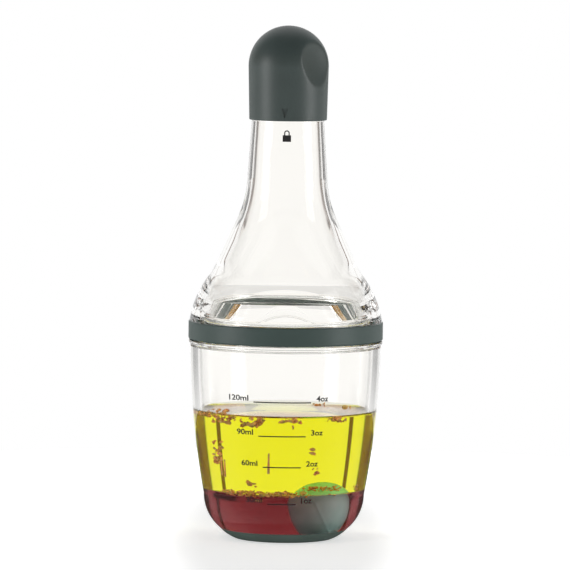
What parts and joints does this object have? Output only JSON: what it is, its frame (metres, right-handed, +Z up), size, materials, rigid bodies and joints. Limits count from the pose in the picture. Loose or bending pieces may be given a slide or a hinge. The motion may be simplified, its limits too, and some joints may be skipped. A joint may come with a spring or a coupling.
{
  "type": "salad dressing shaker bottle",
  "caption": "Clear screw-together dressing shaker: round cup on a dark foot, flared neck with a grip band, domed twist cap over a pouring spout, and a loose mixing ball.",
  "frame": {"origin": "centre of the foot's flat underside, where the bottle's axis meets the table", "axes": "+Z up along the bottle's axis; -Y is the front with the printed scale and the cap's pointer; +X is the viewer's right"},
  "size_m": [0.07, 0.07, 0.1845],
  "materials": {
    "foot_rubber": "matte",
    "clear_cup": "clear gloss",
    "clear_neck": "clear gloss",
    "band_green": "satin",
    "gasket_silicone": "clear satin",
    "spout_plastic": "satin",
    "cap_green": "soft matte",
    "liner_plastic": "satin",
    "seal_silicone": "matte",
    "ball_silicone": "matte"
  },
  "bodies": {
    "cup_body": {"cup": "clear_cup", "foot": "foot_rubber"},
    "gasket_body": {"neck_gasket": "gasket_silicone"},
    "neck_body": {"neck": "clear_neck", "collar_band": "band_green", "pour_spout": "spout_plastic"},
    "seal_body": {"cap_seal": "seal_silicone"},
    "cap_body": {"cap_shell": "cap_green", "cap_liner": "liner_plastic"},
    "ball_body": {"mixing_ball": "ball_silicone"}
  },
  "joints": [
    {"name": "gasket_rise", "type": "slide", "parent": "cup_body", "child": "gasket_body", "axis": [0, 0, 1], "range_m": [0, 0.00301]},
    {"name": "neck_twist", "type": "hinge", "parent": "gasket_body", "child": "neck_body", "pos_m": [0, 0, 0.0715], "axis": [0, 0, 1], "range_deg": [0, 360]},
    {"name": "seal_rise", "type": "slide", "parent": "neck_body", "child": "seal_body", "axis": [0, 0, 1], "range_m": [0, 0.00334]},
    {"name": "cap_twist", "type": "hinge", "parent": "seal_body", "child": "cap_body", "pos_m": [0, 0, 0.1507], "axis": [0, 0, 1], "range_deg": [0, 150]},
    {"name": "ball_lift", "type": "slide", "parent": "cup_body", "child": "ball_body", "axis": [0, 0, 1], "range_m": [0, 0.074]}
  ],
  "couplings": [
    {"joint": "gasket_rise", "follows": "neck_twist", "m_per_rad": 0.00047746},
    {"joint": "seal_rise", "follows": "cap_twist", "m_per_rad": 0.0012732}
  ]
}
